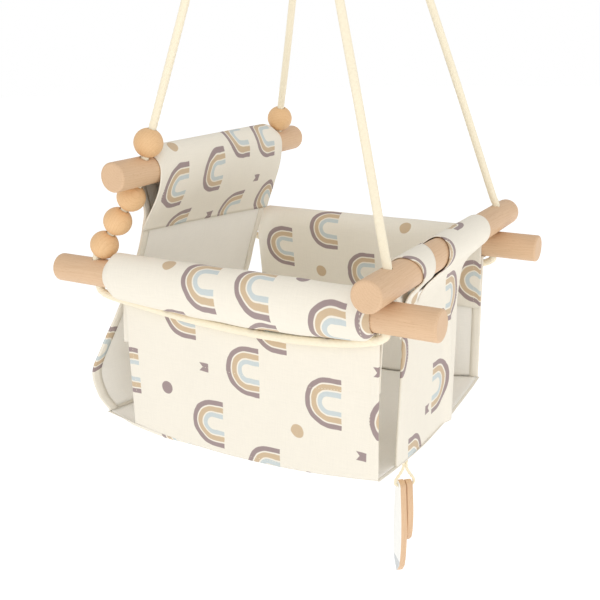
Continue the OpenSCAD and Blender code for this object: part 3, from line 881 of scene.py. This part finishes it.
def clothMaterial(name, colour, pitch):
    material, tree, principled = newMaterial(name)
    flat = addNode(tree, "ShaderNodeUVMap", uv_map="flat").outputs[0]
    woven = addNode(tree, "ShaderNodeGroup", {"Flat": flat, "Pitch": pitch * mm}, node_tree=weave).outputs
    if colour is None:
        colour = addNode(tree, "ShaderNodeGroup", {"Flat": flat}, node_tree=nurseryPrint).outputs["Color"]
    else:
        colour = linear(*colour)
    tint = addNode(tree, "ShaderNodeTexNoise", {"Vector": flat, "Scale": 9.0, "Detail": 3.0}).outputs[0]
    shade = maths(tree, "MULTIPLY_ADD", woven["Shade"], 0.07, maths(tree, "MULTIPLY_ADD", tint, 0.05, 0.905))
    grey = addNode(tree, "ShaderNodeCombineColor", {0: shade, 1: shade, 2: shade}).outputs[0]
    tree.links.new(mixColour(tree, 1.0, colour, grey, "MULTIPLY"), principled.inputs["Base Color"])
    creases = addNode(tree, "ShaderNodeTexNoise", {"Vector": flat, "Scale": 38.0, "Detail": 4.0}).outputs[0]
    rough = bump(tree, creases, 1.1, 0.35)
    tree.links.new(bump(tree, woven["Height"], 0.12, 0.5, rough), principled.inputs["Normal"])
    principled.inputs["Roughness"].default_value = 0.86
    principled.inputs["Specular IOR Level"].default_value = 0.25
    principled.inputs["Sheen Weight"].default_value = 0.12
    principled.inputs["Sheen Roughness"].default_value = 0.6
    return material


def cottonMaterial(name, colour, turns):
    material, tree, principled = newMaterial(name)
    flat = addNode(tree, "ShaderNodeUVMap", uv_map="flat").outputs[0]
    fibres = addNode(tree, "ShaderNodeTexNoise", {"Scale": 1.0, "Detail": 3.0,
        "Vector": vectorMaths(tree, "MULTIPLY", flat, (turns, turns * 0.3, 1))}).outputs[0]
    patches = addNode(tree, "ShaderNodeTexNoise", {"Vector": flat, "Scale": 30.0, "Detail": 2.0}).outputs[0]
    shade = maths(tree, "MULTIPLY_ADD", fibres, 0.16, maths(tree, "MULTIPLY_ADD", patches, 0.08, 0.86))
    grey = addNode(tree, "ShaderNodeCombineColor", {0: shade, 1: shade, 2: shade}).outputs[0]
    tree.links.new(mixColour(tree, 1.0, linear(*colour), grey, "MULTIPLY"), principled.inputs["Base Color"])
    tree.links.new(bump(tree, fibres, 0.3, 0.6), principled.inputs["Normal"])
    principled.inputs["Roughness"].default_value = 0.9
    principled.inputs["Sheen Weight"].default_value = 0.2
    return material


wood = {"light": (225, 191, 155), "dark": (192, 151, 113), "beadLight": (236, 196, 148),
    "beadDark": (203, 152, 99), "paint": (244, 244, 240), "tip": (205, 209, 210)}


def woodMaterial(name, centre, rotation, seed, light=wood["light"], dark=wood["dark"]):
    material, tree, principled = newMaterial(name)
    place = addNode(tree, "ShaderNodeTexCoord").outputs["Object"]
    local = addNode(tree, "ShaderNodeMapping", {"Vector": place, "Location": centre, "Rotation": rotation},
        vector_type="TEXTURE").outputs[0]
    made = addNode(tree, "ShaderNodeGroup", {"Place": local, "Seed": seed}, node_tree=grain).outputs
    colour = mixColour(tree, made["Tone"], linear(*light), linear(*dark))
    broad = addNode(tree, "ShaderNodeTexNoise", {"Vector": local, "Scale": 14.0, "Detail": 2.0}).outputs[0]
    shade = maths(tree, "MULTIPLY_ADD", broad, 0.16, 0.91)
    grey = addNode(tree, "ShaderNodeCombineColor", {0: shade, 1: shade, 2: shade}).outputs[0]
    colour = mixColour(tree, 1.0, colour, grey, "MULTIPLY")
    tree.links.new(maths(tree, "MULTIPLY_ADD", made["Tone"], 0.14, 0.48), principled.inputs["Roughness"])
    tree.links.new(bump(tree, made["Height"], 0.12, 0.35), principled.inputs["Normal"])
    tree.links.new(colour, principled.inputs["Base Color"])
    principled.inputs["Specular IOR Level"].default_value = 0.35
    return material, tree, principled, colour, local


def paint(piece, material):
    piece.data.materials.clear()
    piece.data.materials.append(material)


canvas = clothMaterial("printed canvas", None, 0.62)
plain = clothMaterial("plain lining", printed["lining"], 0.5)
ropeCotton = cottonMaterial("rope cotton", (247, 236, 210), 2600)
thread = cottonMaterial("stitching thread", (240, 232, 214), 2600)
cordCotton = cottonMaterial("cord cotton", (244, 232, 202), 3200)
for piece in clothPieces:
    paint(piece, canvas)
for piece in linerPieces:
    paint(piece, plain)
for piece in stitchPieces:
    paint(piece, thread)
for pieces in ropePieces.values():
    for piece in pieces:
        paint(piece, ropeCotton)
paint(string, cordCotton)

alongX, alongY = (0, radians(90), 0), (radians(-90), 0, 0)
barGrain = {"back_bar": (alongX, 1.3), "front_bar": (alongX, 4.1), "right_side_bar": (alongY, 7.7),
    "left_side_bar": (alongY, 2.9)}
for node, (rotation, seed) in barGrain.items():
    low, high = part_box(node)
    paint(nodes[node], woodMaterial(node + " beech", (low + high) / 2, rotation, seed)[0])
beads = [n for n in nodes if n.endswith("_bead")]
for k, node in enumerate(sorted(beads)):
    low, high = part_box(node)
    rotation = (0.9 + 1.7 * k, 0.5 + 2.3 * k, 0.3 * k)
    paint(nodes[node], woodMaterial(node + " wood", (low + high) / 2, rotation, 3.7 * k + 0.5,
        wood["beadLight"], wood["beadDark"])[0])
for node, piece in feathers.items():
    low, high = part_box(node)
    material, tree, principled, colour, local = woodMaterial(node + " beech", seatPoint(*pendantAt),
        (0, 0, radians(pendant["turn"])), 5.5 + len(node))
    if node == "long_feather":    # its outer face is painted white, with a grey tip
        parts = addNode(tree, "ShaderNodeSeparateXYZ", {0: local}).outputs
        face = maths(tree, "GREATER_THAN", parts[1], (pendant["thick"] + 0.5 - 0.6) * mm)
        tip = maths(tree, "LESS_THAN", parts[2], low.z - seatPoint(*pendantAt).z + 17 * mm)
        coat = mixColour(tree, tip, linear(*wood["paint"]), linear(*wood["tip"]))
        tree.links.new(mixColour(tree, face, colour, coat), principled.inputs["Base Color"])
    paint(piece, material)

steel, tree, principled = newMaterial("polished steel")
place = addNode(tree, "ShaderNodeTexCoord").outputs["Object"]
scratch = addNode(tree, "ShaderNodeTexNoise", {"Vector": place, "Scale": 900.0, "Detail": 3.0}).outputs[0]
tree.links.new(maths(tree, "MULTIPLY_ADD", scratch, 0.2, 0.14), principled.inputs["Roughness"])
tree.links.new(bump(tree, scratch, 0.03, 0.3), principled.inputs["Normal"])
principled.inputs["Base Color"].default_value = (0.62, 0.63, 0.64, 1)
principled.inputs["Metallic"].default_value = 1
for node in ("right_ring", "left_ring"):
    paint(nodes[node], steel)
for node in [*barGrain, *beads, "right_ring", "left_ring"]:
    for face in nodes[node].data.polygons:
        face.use_smooth = True
print("materials made")

# Floor
floorMaterial, tree, principled = newMaterial("floor")
place = addNode(tree, "ShaderNodeTexCoord").outputs["Object"]
tone = addNode(tree, "ShaderNodeTexNoise", {"Vector": place, "Scale": 3.0, "Detail": 2.0}).outputs[0]
light = maths(tree, "MULTIPLY_ADD", tone, 0.02, 0.95)
tree.links.new(addNode(tree, "ShaderNodeCombineColor", {0: light, 1: light, 2: light}).outputs[0],
    principled.inputs["Base Color"])
principled.inputs["Roughness"].default_value = 0.9
principled.inputs["Specular IOR Level"].default_value = 0.1
principled.inputs["Emission Color"].default_value = (1, 1, 1, 1)
principled.inputs["Emission Strength"].default_value = studio["floorGlow"]
form = bmesh.new()
bmesh.ops.create_circle(form, cap_ends=True, segments=96, radius=14,
    matrix=Matrix.Translation(Vector((seatZero.x, seatZero.y, startBox[0].z - studio["floorBelow"] * mm))))
ground = finishMesh("floor", form)
paint(ground, floorMaterial)

print("scene ready")
